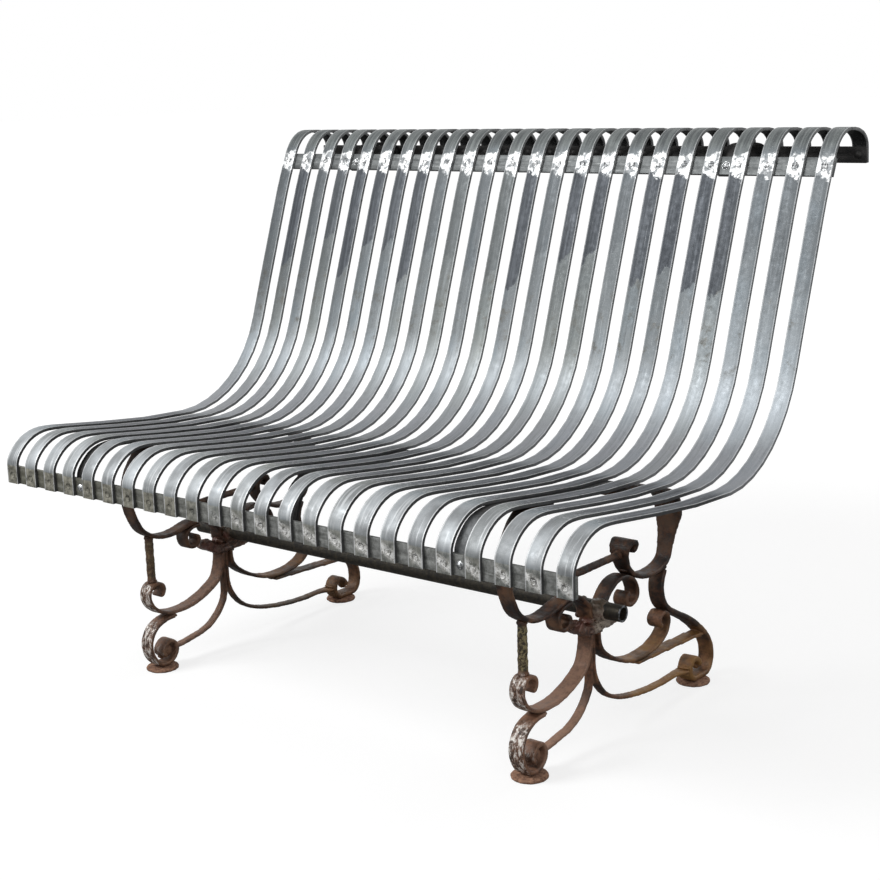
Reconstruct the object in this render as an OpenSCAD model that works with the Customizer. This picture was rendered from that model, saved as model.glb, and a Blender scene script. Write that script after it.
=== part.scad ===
// Garden bench of riveted steel slats on two forged scroll legs.
// X runs along the bench, Y from the front edge to the back, Z up from the floor.
// The origin is on the floor, midway along the bench and midway between its front and back.
// All distances from the front start at the back face of the slats' front ends.

/* [Slats] */
// Number of slats
slat_count = 24; // [20:2:28]
// Slats that stand outside each leg
outer_slats = 4; // [3:1:5]
// Distance from one slat to the next
slat_pitch = 50; // [46:1:54]
// Width of a slat
slat_w = 26.5; // [24:0.5:32]
// Thickness of a slat
slat_t = 5; // [4:0.5:6]

/* [Seat and back] */
// Height of the slats' front ends above the floor
front_z = 346; // [335:1:358]
// Height of the seat's front crest, under the slats
crest_z = 426; // [418:1:440]
// Height of the seat's lowest line, under the slats
dip_z = 396; // [388:1:406]
// Distance of the seat's lowest line from the front
dip_y = 400; // [380:1:420]
// Slope of the straight part of the back, from level
back_slope = 70.5; // [68:0.5:76]
// Distance from the front to where the back turns straight
back_y = 604; // [590:1:620]
// Height at which the back turns straight
back_z = 552; // [536:1:576]
// Length of the straight part of the back
back_len = 240; // [200:1:280]
// Slope of the slats where the top front rail is riveted
head_slope = 66; // [60:1:72]
// Rise from the straight part of the back to the top front rail
head_rise = 58; // [46:1:66]
// Rise of the rolled top over the top front rail
roll_rise = 39; // [34:1:46]
// Depth of the rolled top, front to back
roll_depth = 113; // [105:1:125]

/* [Rails and ribs] */
// Height of the flat rails
rail_h = 30; // [26:1:34]
// Thickness of the flat rails
rail_t = 6; // [5:0.5:8]
// Height of the rail at the back of the rolled top
rear_rail_h = 26; // [22:1:28]
// Width of the ribs under the seat
rib_w = 30; // [28:1:40]
// Thickness of the ribs under the seat
rib_t = 6; // [5:0.5:8]
// Distance from the front to the ribs' rear ends
rib_end_y = 380; // [360:1:410]
// Thickness of the straps inside the rolled top
arch_t = 5; // [4:0.5:6]

/* [Fasteners] */
// Diameter of a rivet's shank
rivet_d = 6; // [5:0.5:8]
// Diameter of a slat rivet's flattened front head
rivet_face_d = 11; // [9:0.5:14]
// Height of a slat rivet's flattened front head
rivet_face_h = 0.8; // [0.5:0.1:1.5]
// Diameter of a round head
dome_d = 14; // [12:0.5:16]
// Height of a round head
dome_h = 4; // [3:0.5:6]
// Clearance round a rivet's shank
rivet_gap = 0.1; // [0.05:0.05:0.2]

/* [Stretcher] */
// Diameter of the stretcher tube
tube_d = 26; // [22:1:30]
// Wall of the stretcher tube
tube_wall = 3; // [2:0.5:5]
// Distance from the front to the stretcher tube
tube_y = 312; // [304:1:320]
// Height of the stretcher tube's axis
tube_z = 215; // [210:1:220]
// Length of the tube beyond each leg's middle plane
tube_overhang = 58; // [40:1:80]

/* [Leg straps] */
// Width of the leg straps
strap_w = 27; // [24:1:32]
// Thickness of the leg straps
strap_t = 7; // [6:0.5:8]
// Thickness of the four braces under the hub
brace_t = 6.5; // [5.5:0.5:7]
// Width of the two narrow lower braces
narrow_w = 15; // [12:1:20]
// Thickness of the saddle under the tube
saddle_t = 16; // [13:1:18]
// Width of the saddle under the tube
saddle_w = 32; // [28:1:40]
// Thickness of the rear leg
leg_t = 9; // [8:0.5:10]
// Width of the rear hook below its flare
hook_w = 27; // [24:1:32]
// Width of the rear hook's flared upper part and arm
flare_w = 48; // [42:1:54]
// Thickness of the rear hook
hook_t = 8; // [7:0.5:9]
// Diameter of the post over the front volute
post_d = 15; // [12:1:18]
// Diameter of the tie rod
tie_d = 12; // [10:1:14]
// Thickness of the straight rear tie
rear_tie_t = 6; // [5:0.5:7]

/* [Feet] */
// Diameter of a foot pad
pad_d = 57; // [50:1:64]
// Thickness of a foot pad
pad_t = 6; // [5:1:9]
// Distance from the front to the front pads
front_foot_y = 148; // [140:1:156]
// Distance from the front to the rear pads
rear_foot_y = 614; // [606:1:622]

/* [Hidden] */
$fn = 64;
slat_names = [for (i = [1 : slat_count]) str("slat_", i < 10 ? "0" : "", i)];
bench_nodes = ["front_rail", "top_front_rail", "top_rear_rail", "left_rib", "middle_rib",
    "right_rib", "arch_straps", "front_rivets", "top_rivets", "rear_rivets", "rib_rivets",
    "stretcher_tube", "foot_pads", "posts", "tie_rods", "small_scrolls", "rear_ties"];
leg_pieces = ["front_hook", "saddle", "front_upper_brace", "front_lower_brace", "front_foot",
    "rear_upper_brace", "rear_lower_brace", "rear_leg", "rear_hook"];

// Clearance between pieces that touch along a curve
gap = 0.3;
// Turn of a bent strap between two of its facets, in degrees
facet_turn = 9;
// Fewest facets between two stations
facet_least = 3;

slat_color = [0.56, 0.59, 0.62];
rail_color = [0.36, 0.37, 0.36];
iron_color = [0.33, 0.25, 0.20];
dark_iron_color = [0.20, 0.17, 0.15];
rust_color = [0.52, 0.33, 0.23];
bright_color = [0.80, 0.81, 0.82];

// A bent bar is given by stations [y, z, heading], with the heading in degrees from level.
// Between two stations it bends as evenly as their headings allow.
function handle(a, b) = norm([b[0] - a[0], b[1] - a[1]]) / (3 * pow(cos((b[2] - a[2]) / 4), 2));
function blend(p, u) =
    pow(1 - u, 3) * p[0] + 3 * u * pow(1 - u, 2) * p[1] + 3 * u * u * (1 - u) * p[2] + pow(u, 3) * p[3];
function slope(p, u) =
    pow(1 - u, 2) * (p[1] - p[0]) + 2 * u * (1 - u) * (p[2] - p[1]) + u * u * (p[3] - p[2]);
// The heading nearest to the one expected, so that curls go on past a full turn
function unwrap(angle, near) = angle + 360 * round((near - angle) / 360);
function bend_point(a, b, u) =
    let (
        h = handle(a, b),
        first = [a[0], a[1]],
        last = [b[0], b[1]],
        p = [first, first + h * [cos(a[2]), sin(a[2])], last - h * [cos(b[2]), sin(b[2])], last],
        at = blend(p, u),
        dir = slope(p, u)
    )
    [at[0], at[1], unwrap(atan2(dir[1], dir[0]), a[2] + u * (b[2] - a[2]))];
function facets(a, b) = max(facet_least, ceil(abs(b[2] - a[2]) / facet_turn));
function bend(s) = concat(
    [for (i = [0 : len(s) - 2]) let (n = facets(s[i], s[i + 1])) for (k = [0 : n - 1])
        bend_point(s[i], s[i + 1], k / n)],
    [s[len(s) - 1]]
);
// A point moved off the path, to the right of its heading
function beside(p, d) = [p[0] + d * sin(p[2]), p[1] - d * cos(p[2])];
function band(path, d0, d1) = concat(
    [for (p = path) beside(p, d0)],
    [for (i = [len(path) - 1 : -1 : 0]) beside(path[i], d1)]
);
function moved(p, heading) = [p[0], p[1], heading];

// The slats, along their back and under face
end_slope = -87;
crest_y = 68;
rail_mid_z = front_z + rail_h / 2;
// Drop from the top front rail's upper edge to the rear rail's lower edge
tail_drop = 15;
head_dir = [cos(head_slope), sin(head_slope)];
head_low = [back_y, back_z] + back_len * [cos(back_slope), sin(back_slope)]
    + head_rise / sin(head_slope + 2) * [cos(head_slope + 2), sin(head_slope + 2)];
head_high = head_low + rail_h * head_dir;
head_mid = (head_low + head_high) / 2;
apex = head_high + [roll_depth * 0.46, roll_rise];
tail_low = [head_high[0] + roll_depth, head_high[1] - tail_drop];
tail_high = tail_low - rear_rail_h * [cos(end_slope), sin(end_slope)];
tail_mid = (tail_low + tail_high) / 2;
slat_path = bend([
    [0, front_z, 90],
    [0, front_z + rail_h, 90],
    [13, crest_z - 24, 48],
    [crest_y, crest_z, 0],
    [crest_y + 42, crest_z - 3.5, -7],
    [dip_y, dip_z, 0],
    [back_y, back_z, back_slope + 1],
    [back_y + back_len * cos(back_slope), back_z + back_len * sin(back_slope), back_slope],
    moved(head_low, head_slope),
    moved(head_high, head_slope),
    moved(apex, 0),
    [apex[0] + 41, apex[1] - 6.5, -24],
    moved(tail_high, end_slope),
    moved(tail_low, end_slope)
]);
seat_part = [for (p = slat_path) if (p[0] > 0 && p[2] > -30 && p[0] < apex[0]) p];
function under_z(y) = lookup(y, [for (p = seat_part) [p[0], p[1]]]);
function under_heading(y) = lookup(y, [for (p = seat_part) [p[0], p[2]]]);
// A point under the slats at depth d below their under face, where the slat is y from the front
function under(y, d) =
    let (p = [y, under_z(y), under_heading(y)])
    moved(beside(p, d), p[2]);
function followed(y0, y1, d) =
    concat(
        [under(y0, d)],
        [for (p = seat_part) if (p[0] > y0 + 1 && p[0] < y1 - 1) moved(beside(p, d), p[2])],
        [under(y1, d)]
    );

bench_x = (slat_count - 1) / 2 * slat_pitch;
leg_x = (slat_count / 2 - outer_slats) * slat_pitch;
bench_w = 2 * bench_x + slat_w;
tube_l = 2 * (leg_x + tube_overhang);

// Draws a bar whose side view is the outline, w wide about the plane at x
module side_cut(x, w, outline)
    translate([x - w / 2, 0, 0]) rotate([90, 0, 90]) linear_extrude(w) polygon(outline);

module strap(x, w, t, stations) side_cut(x, w, band(bend(stations), -t / 2, t / 2));

// The fastener's axis runs from the front face that p lies behind by depth, square to the heading
module square_to(x, p, heading, depth)
    let (face = beside(moved(p, heading), -depth))
    translate([x, face[0], face[1]]) rotate([heading - 180, 0, 0]) children();

module rivet_hole(grip) translate([0, 0, -1]) cylinder(d = rivet_d + 2 * rivet_gap, h = grip + 2);

module dome() {
    r = (pow(dome_d / 2, 2) + pow(dome_h, 2)) / (2 * dome_h);
    intersection() {
        translate([0, 0, dome_h - r]) sphere(r);
        cylinder(d = dome_d, h = dome_h);
    }
}

// A slat rivet: a flattened face in front, a round head behind
module slat_rivet(grip) {
    translate([0, 0, -rivet_face_h]) cylinder(d = rivet_face_d, h = rivet_face_h);
    cylinder(d = rivet_d, h = grip);
    translate([0, 0, grip]) dome();
}

// A rib rivet: a round head at each end
module round_rivet(grip) {
    rotate([180, 0, 0]) dome();
    cylinder(d = rivet_d, h = grip);
    translate([0, 0, grip]) dome();
}

slat_grip = slat_t + rail_t;
rib_grip = rail_t + rib_t;
arch_grip = rail_t + arch_t;

module slat(i) color(slat_color) {
    x = (i - (slat_count + 1) / 2) * slat_pitch;
    difference() {
        side_cut(x, slat_w, band(slat_path, -slat_t, 0));
        square_to(x, [0, rail_mid_z], 90, slat_t) rivet_hole(slat_t);
        square_to(x, head_mid, head_slope, slat_t) rivet_hole(slat_t);
        square_to(x, tail_mid, end_slope, slat_t) rivet_hole(slat_t);
    }
}

// A flat rail along the slats' inner face, with a hole at each slat and at each place in extra
module rail(low, high, heading, extra) color(rail_color) difference() {
    side_cut(0, bench_w, band([moved(low, heading), moved(high, heading)], 0, rail_t));
    for (i = [0 : slat_count - 1])
        square_to(i * slat_pitch - bench_x, (low + high) / 2, heading, 0) rivet_hole(rail_t);
    for (x = extra) square_to(x, (low + high) / 2, heading, 0) rivet_hole(rail_t);
}

module front_rail() rail([0, front_z], [0, front_z + rail_h], 90, [-leg_x, leg_x]);
module top_front_rail() rail(head_low, head_high, head_slope, [-leg_x, leg_x]);
module top_rear_rail() rail(tail_high, tail_low, end_slope, []);

module slat_rivets(p, heading) color(bright_color)
    for (i = [0 : slat_count - 1])
        square_to(i * slat_pitch - bench_x, p, heading, slat_t) slat_rivet(slat_grip);

module front_rivets() slat_rivets([0, rail_mid_z], 90);
module top_rivets() slat_rivets(head_mid, head_slope);
module rear_rivets() slat_rivets(tail_mid, end_slope);

module rib_rivets() color(bright_color) for (x = [-leg_x, leg_x]) {
    square_to(x, [0, rail_mid_z], 90, 0) round_rivet(rib_grip);
    square_to(x, head_mid, head_slope, 0) round_rivet(arch_grip);
}

// A rib stands against the front rail, bends over and follows the slats to the back of the seat
rib_depth = gap + rib_t / 2;
rib_join_y = 105;
function rib_back(join_y) = followed(join_y + 5, rib_end_y, rib_depth);
rib_front = bend([
    [rail_t + rib_t / 2, front_z + 2, 90],
    [rail_t + rib_t / 2, front_z + rail_h - 2, 90],
    [rail_t + rib_t / 2 + 16, crest_z - 24, 48],
    under(rib_join_y, rib_depth)
]);
module side_rib(x) color(rail_color) difference() {
    side_cut(x, rib_w, band(concat(rib_front, rib_back(rib_join_y)), -rib_t / 2, rib_t / 2));
    square_to(x, [rail_t, rail_mid_z], 90, 0) rivet_hole(rib_t);
}
module left_rib() side_rib(-leg_x);
module right_rib() side_rib(leg_x);

// The middle rib turns down behind the front rail to a free end
middle_bend_y = 170;
middle_front = bend([
    [82, crest_z - 88, 84],
    [96, crest_z - 44, 62],
    [130, crest_z - 19, 19],
    under(middle_bend_y, rib_depth)
]);
module middle_rib() color(dark_iron_color)
    side_cut(0, rib_w, band(concat(middle_front, rib_back(middle_bend_y)), -rib_t / 2, rib_t / 2));

// Straps inside the rolled top, from the top front rail to the rear one
arch_drop = 22;
arch_path = let (d = rail_t + arch_t / 2) bend([
    moved(beside(moved(head_low, head_slope), d), head_slope),
    moved(beside(moved(head_high, head_slope), d), head_slope),
    [apex[0] - 2, apex[1] - arch_drop, 0],
    [apex[0] + 28, apex[1] - arch_drop - 2, -12],
    moved(beside(moved(tail_mid, end_slope), d), end_slope),
    moved(beside(moved(tail_low, end_slope), d), end_slope)
]);
module arch_straps() color(dark_iron_color) for (x = [-leg_x, leg_x]) difference() {
    side_cut(x, rib_w, band(arch_path, -arch_t / 2, arch_t / 2));
    square_to(x, head_mid, head_slope, -rail_t) rivet_hole(arch_t);
}

module stretcher_tube() color(dark_iron_color)
    translate([-tube_l / 2, tube_y, tube_z]) rotate([0, 90, 0]) difference() {
        cylinder(d = tube_d, h = tube_l);
        translate([0, 0, -1]) cylinder(d = tube_d - 2 * tube_wall, h = tube_l + 2);
    }

module foot_pads() color(rust_color)
    for (x = [-leg_x, leg_x]) for (y = [front_foot_y, rear_foot_y])
        translate([x, y, 0]) rotate_extrude() polygon([
            [0, 0], [pad_d / 2 - 1, 0], [pad_d / 2, 1],
            [pad_d / 2, pad_t - 2], [pad_d / 2 - 2, pad_t], [0, pad_t]
        ]);

// Places in a leg that several pieces share
axis = [tube_y, tube_z];
knot = axis - [0, 4];
wrap_r = tube_d / 2 + gap + strap_t / 2;
saddle_mid_z = tube_z - wrap_r - strap_t / 2 - gap - saddle_t / 2;
brace_top_z = saddle_mid_z - saddle_t / 2 - gap;
brace_pitch = brace_t + gap;
function brace_y(i) = tube_y - 4.4 + (i - 1.5) * brace_pitch;
post_y = front_foot_y - 11;
volute = [post_y, 138];
brace_low = [volute[0] + 53, volute[1] - 40.5];
front_foot_at = [front_foot_y, pad_t + gap + strap_t / 2];
rear_foot_at = [rear_foot_y, pad_t + gap + leg_t / 2];
rear_joint = knot + [200, 26];
hook_crest = knot + [-62, 38];
function from(p, dy, dz, heading) = [p[0] + dy, p[1] + dz, heading];
function back_along(p) = [p[0], p[1], p[2] + 180];

// Outline of a bar seen square to its width: w0 wide, spreading to w1 between s0 and s1, up to s2
function spread(w0, w1, s0, s1, s2) =
    let (
        n = 6,
        side = [for (k = [0 : n]) [(w0 + (w1 - w0) * pow(k / n, 2)) / 2, s0 + (s1 - s0) * k / n]],
        edge = concat([[w0 / 2, 0]], side, [[w1 / 2, s2]])
    )
    concat(edge, [for (k = [len(edge) - 1 : -1 : 0]) [-edge[k][0], edge[k][1]]]);

// One strap: from the rib, round the front hook, over the crest, under the tube and up into a scroll
hook_depth = 2 * gap + rib_t + strap_t / 2;
front_hook_stations = [
    back_along(under(205, hook_depth)),
    back_along(under(165, hook_depth)),
    [130, under_z(165) - 20.5, 222],
    [107, under_z(165) - 48.5, 238],
    from(hook_crest, -155, 72, 270),
    from(hook_crest, -137, 17, 302),
    from(hook_crest, -112, -3, 331),
    from(hook_crest, -72, -11, 360),
    from(hook_crest, -38, -5, 375),
    from(hook_crest, 0, 0, 358),
    from(hook_crest, 29, -13, 318),
    from(axis, -wrap_r, 0, 270),
    from(axis, 0, -wrap_r, 360),
    from(axis, wrap_r * cos(30), -wrap_r * sin(30), 420),
    from(knot, 32, 15, 410),
    from(knot, 46, 26.5, 392),
    from(knot, 72, 33, 360),
    from(knot, 114.5, -2, 270),
    from(knot, 95, -16, 180),
    from(knot, 82.5, -7, 95),
    from(knot, 91, 4, 15)
];
module front_hook(x) color(iron_color) strap(x, strap_w, strap_t, front_hook_stations);

scroll_top_z = hook_crest[1] - strap_t - gap - 0.4;
module small_scroll(x) color(iron_color) strap(x, strap_w, strap_t, [
    [hook_crest[0] - 2, scroll_top_z, 180],
    [hook_crest[0] - 20, scroll_top_z - 1.2, 192],
    [hook_crest[0] - 37, scroll_top_z - 17, 270],
    [hook_crest[0] - 22, scroll_top_z - 36.5, 360],
    [hook_crest[0] - 7, scroll_top_z - 24.5, 450],
    [hook_crest[0] - 15, scroll_top_z - 18, 530]
]);

module saddle(x) color(dark_iron_color) strap(x, saddle_w, saddle_t, [
    [tube_y - 51, saddle_mid_z + 14.5, 318],
    [tube_y - 29, saddle_mid_z + 1.4, 345],
    [tube_y - 14, saddle_mid_z, 360],
    [tube_y + 16, saddle_mid_z, 360],
    [tube_y + 50, saddle_mid_z + 4, 372]
]);

front_upper_stations = [
    [brace_y(0), brace_top_z, 270],
    from(knot, -24, -75, 246),
    from(knot, -44, -92, 209),
    from(knot, -83, -108, 196),
    moved(brace_low, 180),
    from(volute, -3, -24, 138),
    from(volute, -15.5, 1, 90),
    from(volute, 2, 20.7, 0),
    from(volute, 18, 8.5, -90),
    from(volute, 9, -2.7, -180)
];
module front_upper_brace(x) color(iron_color) strap(x, strap_w, brace_t, front_upper_stations);

module front_lower_brace(x) color(iron_color) strap(x, narrow_w, brace_t, [
    [brace_y(1), brace_top_z, 270],
    from(knot, -8.1, -85, 269.5),
    from(knot, -11, -125, 243),
    from(knot, -52, -164.5, 207),
    from(front_foot_at, 57, 24.5, 193),
    from(front_foot_at, 27 + strap_t / 2 + gap, 22, 188)
]);

module front_foot(x) color(iron_color) strap(x, strap_w, strap_t, [
    from(brace_low, -14, 0.9 - brace_t / 2 - gap - strap_t / 2, 178),
    from(brace_low, -42, -9.5, 200),
    from(brace_low, -65, -24.5, 236),
    from(front_foot_at, -31, 43, 268),
    from(front_foot_at, -28, 24, 292),
    moved(front_foot_at, 360),
    from(front_foot_at, 27, 22, 450),
    from(front_foot_at, 12, 39, 540),
    from(front_foot_at, 1, 33, 590),
    from(front_foot_at, -4.5, 24, 630),
    from(front_foot_at, 3, 14.5, 710)
]);

upper_low = knot + [125, -111.7];
module rear_upper_brace(x) color(iron_color) strap(x, strap_w, brace_t, [
    [brace_y(3), brace_top_z, 270],
    from(knot, 12, -63, 302),
    from(knot, 25, -76, 322),
    from(knot, 63, -98, 335),
    moved(upper_low, 360),
    from(upper_low, 60, 9.7, 385),
    from(upper_low, 82.3, 34.7, 440),
    from(upper_low, 78.8, 49.2, 490),
    from(upper_low, 69, 54.7, 540),
    from(upper_low, 55, 43.7, 630),
    from(upper_low, 63, 33.2, 700)
]);

// The narrow brace spreads to full width where it meets the rear foot
brace_tip_y = rear_foot_at[0] - 26 - leg_t / 2 - gap;
module rear_lower_brace(x) color(iron_color) intersection() {
    strap(x, strap_w, brace_t, [
        [brace_y(2), brace_top_z, 270],
        from(knot, -0.5, -85, 271.5),
        from(knot, 11, -120, 300),
        from(knot, 38, -148, 327),
        from(knot, 88, -167.5, 347),
        from(rear_foot_at, -114, 20.5, 358),
        from(rear_foot_at, -69, 21.5, 363),
        [brace_tip_y, rear_foot_at[1] + 18, 356]
    ]);
    translate([x, 0, 0]) linear_extrude(tube_z) 
        polygon(spread(narrow_w, strap_w, brace_tip_y - 45, brace_tip_y, brace_tip_y + 5));
}
rear_leg_stations = [
    from(rear_joint, -3.8, -10.5, 242),
    from(rear_joint, -14.5, -39, 270),
    from(rear_joint, 1, -75, 315),
    from(rear_joint, 26, -91, 331),
    from(rear_joint, 61, -109, 332),
    from(rear_foot_at, 8, 83.7, 320),
    from(rear_foot_at, 38.5, 48.2, 294),
    from(rear_foot_at, 42.5, 27.2, 270),
    from(rear_foot_at, 22, 0, 180),
    from(rear_foot_at, -8, 0, 180),
    from(rear_foot_at, -26, 18.2, 90),
    from(rear_foot_at, -12, 35.2, 0),
    from(rear_foot_at, 0, 30.2, -40),
    from(rear_foot_at, 6.5, 19, -80)
];
module rear_leg(x) color(iron_color) strap(x, strap_w, leg_t, rear_leg_stations);

// The straight tie is cut to the rear leg that it ends on
tie_start = [upper_low[0] - 10, upper_low[1] - brace_t / 2 - gap - rear_tie_t / 2];
tie_end = [rear_foot_at[0] + 18, tie_start[1] - 9];
tie_heading = atan2(tie_end[1] - tie_start[1], tie_end[0] - tie_start[0]);
module rear_tie(x) color(iron_color) difference() {
    strap(x, strap_w - 3, rear_tie_t, [moved(tie_start, tie_heading), moved(tie_end, tie_heading)]);
    strap(x, strap_w, leg_t + 2 * gap, rear_leg_stations);
}

// The rear hook flares towards its top, which bends forward into an arm under the rib's rear end
arm_depth = 2 * gap + rib_t + hook_t / 2;
arm_end_y = rib_end_y - 38;
rear_hook_stations = [
    under(arm_end_y, arm_depth),
    under(rib_end_y, arm_depth),
    from(rear_joint, -80, 142, -14),
    from(rear_joint, -16, 123, -16),
    from(rear_joint, 24, 79, -94),
    from(rear_joint, 21, 55, -99),
    from(rear_joint, 15, 31, -105),
    from(rear_joint, 0, 0, -151),
    from(rear_joint, -42, -9, -180),
    from(rear_joint, -87, 0, -205),
    from(rear_joint, -120, 43, -265),
    from(rear_joint, -107, 59.5, -355),
    from(rear_joint, -95.5, 50, -450),
    from(rear_joint, -102, 43.5, -525)
];
flare_low_z = rear_joint[1] + 13;
flare_high_z = rear_joint[1] + 72;
module rear_hook(x) color(dark_iron_color) intersection() {
    strap(x, flare_w, hook_t, rear_hook_stations);
    translate([x, back_y, 0]) rotate([90, 0, 0]) linear_extrude(back_y)
        polygon(spread(hook_w, flare_w, flare_low_z, flare_high_z, back_z));
}

// The post is cut to the hook above it and to the volute below it
module post(x) color(iron_color) difference() {
    translate([x, post_y, volute[1] + 10]) cylinder(d = post_d, h = hook_crest[1] - volute[1]);
    side_cut(x, strap_w, band(bend(front_hook_stations), -strap_t / 2 - 60, strap_t / 2 + gap));
    strap(x, strap_w, brace_t + 2 * gap, front_upper_stations);
}

tie_z = rear_joint[1] + 41;
tie_bend_r = 18;
tie_front_y = hook_crest[0] - 12;
tie_end_y = rear_joint[0] - 120 - hook_t / 2 - gap;
module tie_rod(x) color(iron_color) difference() {
    union() {
        translate([x, tie_front_y, hook_crest[1]])
            cylinder(d = tie_d, h = tie_z - tie_bend_r - hook_crest[1]);
        translate([x, tie_front_y + tie_bend_r, tie_z - tie_bend_r]) rotate([90, 0, -90])
            rotate_extrude(angle = 90) translate([tie_bend_r, 0]) circle(d = tie_d);
        translate([x, tie_front_y + tie_bend_r, tie_z]) rotate([-90, 0, 0])
            cylinder(d = tie_d, h = tie_end_y - tie_front_y - tie_bend_r);
    }
    strap(x, strap_w, strap_t + 2 * gap, front_hook_stations);
}

// The model is moved so that it is centred front to back, between the rivets' front faces
rivet_front = slat_t + rivet_face_h;
mid_y = (beside(moved(tail_mid, end_slope), -rivet_front)[0] - rivet_front) / 2;
module placed() translate([0, -mid_y, 0]) children();

module both_legs() for (x = [-leg_x, leg_x]) let ($leg = x) children();
module posts() both_legs() post($leg);
module tie_rods() both_legs() tie_rod($leg);
module small_scrolls() both_legs() small_scroll($leg);
module rear_ties() both_legs() rear_tie($leg);

for (i = [1 : slat_count]) placed() slat(i);
placed() front_rail();
placed() top_front_rail();
placed() top_rear_rail();
placed() left_rib();
placed() middle_rib();
placed() right_rib();
placed() arch_straps();
placed() front_rivets();
placed() top_rivets();
placed() rear_rivets();
placed() rib_rivets();
placed() stretcher_tube();
placed() foot_pads();
placed() posts();
placed() tie_rods();
placed() small_scrolls();
placed() rear_ties();
placed() front_hook(-leg_x);  // left_front_hook
placed() saddle(-leg_x);  // left_saddle
placed() front_upper_brace(-leg_x);  // left_front_upper_brace
placed() front_lower_brace(-leg_x);  // left_front_lower_brace
placed() front_foot(-leg_x);  // left_front_foot
placed() rear_upper_brace(-leg_x);  // left_rear_upper_brace
placed() rear_lower_brace(-leg_x);  // left_rear_lower_brace
placed() rear_leg(-leg_x);  // left_rear_leg
placed() rear_hook(-leg_x);  // left_rear_hook
placed() front_hook(leg_x);  // right_front_hook
placed() saddle(leg_x);  // right_saddle
placed() front_upper_brace(leg_x);  // right_front_upper_brace
placed() front_lower_brace(leg_x);  // right_front_lower_brace
placed() front_foot(leg_x);  // right_front_foot
placed() rear_upper_brace(leg_x);  // right_rear_upper_brace
placed() rear_lower_brace(leg_x);  // right_rear_lower_brace
placed() rear_leg(leg_x);  // right_rear_leg
placed() rear_hook(leg_x);  // right_rear_hook
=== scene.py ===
"""Looks of a garden bench: ground steel slats with a rolled top, on two forged and rusted scroll legs."""

import math

import bpy
from mathutils import Matrix, Vector


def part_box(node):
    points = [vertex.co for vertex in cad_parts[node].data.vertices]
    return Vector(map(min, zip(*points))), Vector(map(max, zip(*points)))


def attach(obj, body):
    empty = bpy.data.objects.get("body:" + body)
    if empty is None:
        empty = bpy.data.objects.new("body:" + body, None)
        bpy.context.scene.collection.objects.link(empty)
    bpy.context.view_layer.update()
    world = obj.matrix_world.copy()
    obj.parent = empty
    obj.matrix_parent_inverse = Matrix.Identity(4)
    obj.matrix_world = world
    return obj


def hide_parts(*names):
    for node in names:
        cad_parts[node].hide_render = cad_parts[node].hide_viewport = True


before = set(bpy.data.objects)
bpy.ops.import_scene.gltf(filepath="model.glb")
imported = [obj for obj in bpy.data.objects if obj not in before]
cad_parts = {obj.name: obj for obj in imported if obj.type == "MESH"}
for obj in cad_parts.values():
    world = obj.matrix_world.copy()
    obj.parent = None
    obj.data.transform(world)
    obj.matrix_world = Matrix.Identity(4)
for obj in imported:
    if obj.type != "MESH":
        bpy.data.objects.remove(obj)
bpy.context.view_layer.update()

# The bench's own sizes and places, in metres
MM = 0.001
SLAT_COUNT = 24
SLAT_PITCH = 50 * MM
SLAT_EDGE = 26.5 * MM / 2
LEG_X = 400 * MM
# Shades that differ from leg to leg change between here and the same place on the other side
LEG_INNER_X = 300 * MM
FRONT_RIVET_Z = 361 * MM
FRONT_RAIL_TOP = 376 * MM
FRONT_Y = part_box("front_rail")[0].y
TOP_RIVET = (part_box("top_front_rail")[0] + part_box("top_front_rail")[1]) / 2
TUBE_LOW, TUBE_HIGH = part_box("stretcher_tube")
TUBE_Y = (TUBE_LOW.y + TUBE_HIGH.y) / 2
TUBE_Z = (TUBE_LOW.z + TUBE_HIGH.z) / 2
# The tube's distance behind the slats' front ends, in millimetres: weld places are given on that scale
TUBE_FROM_FRONT = 312

# Sockets of a Mix node that mixes colours, and the names of two nodes that are used often
MIX_SHARE, MIX_UNDER, MIX_OVER, MIX_RESULT = 0, 6, 7, 2
MATH, SPLIT = "ShaderNodeMath", "ShaderNodeSeparateXYZ"


def past(place, distance_mm):
    """The place that lies some millimetres past another."""
    return place + distance_mm * MM


def paint(code):
    """Turns an sRGB hex colour into the linear colour that shaders take."""
    channels = [int(code[i:i + 2], 16) / 255 for i in (1, 3, 5)]
    return [c / 12.92 if c <= 0.04045 else ((c + 0.055) / 1.055) ** 2.4 for c in channels] + [1.0]


def feed(tree, node, inputs):
    """Gives a node its inputs: values, hex colours, or links from other nodes."""
    for socket, value in inputs.items():
        if isinstance(value, str):
            value = paint(value)
        if isinstance(value, bpy.types.Node):
            value = value.outputs[0]
        if isinstance(value, bpy.types.NodeSocket):
            tree.links.new(value, node.inputs[socket])
        else:
            node.inputs[socket].default_value = value


def add(tree, kind, inputs=None, **settings):
    """Adds a shader node with its settings and its inputs."""
    node = tree.nodes.new(kind)
    for name, value in settings.items():
        setattr(node, name, value)
    feed(tree, node, inputs or {})
    return node


def zone(tree, *parts):
    """Multiplies masks. A part is a mask, a number, or an edge: (value, low, high, start, end) goes
    smoothly from start to end, 0 to 1 if not given, while the value goes from low to high."""
    masks = [add(tree, "ShaderNodeMapRange", dict(enumerate(part)), interpolation_type="SMOOTHSTEP")
             if isinstance(part, tuple) else part for part in parts]
    product = masks[0]
    for mask in masks[1:]:
        product = add(tree, MATH, {0: product, 1: mask}, operation="MULTIPLY")
    return product


def layered(tree, base, *coats):
    """Lays coats over a base colour in turn. Each is a colour and the parts of the zone that it covers."""
    for colour, *parts in coats:
        inputs = {MIX_SHARE: zone(tree, *parts), MIX_UNDER: base, MIX_OVER: colour}
        base = add(tree, "ShaderNodeMix", inputs, data_type="RGBA").outputs[MIX_RESULT]
    return base


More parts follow.
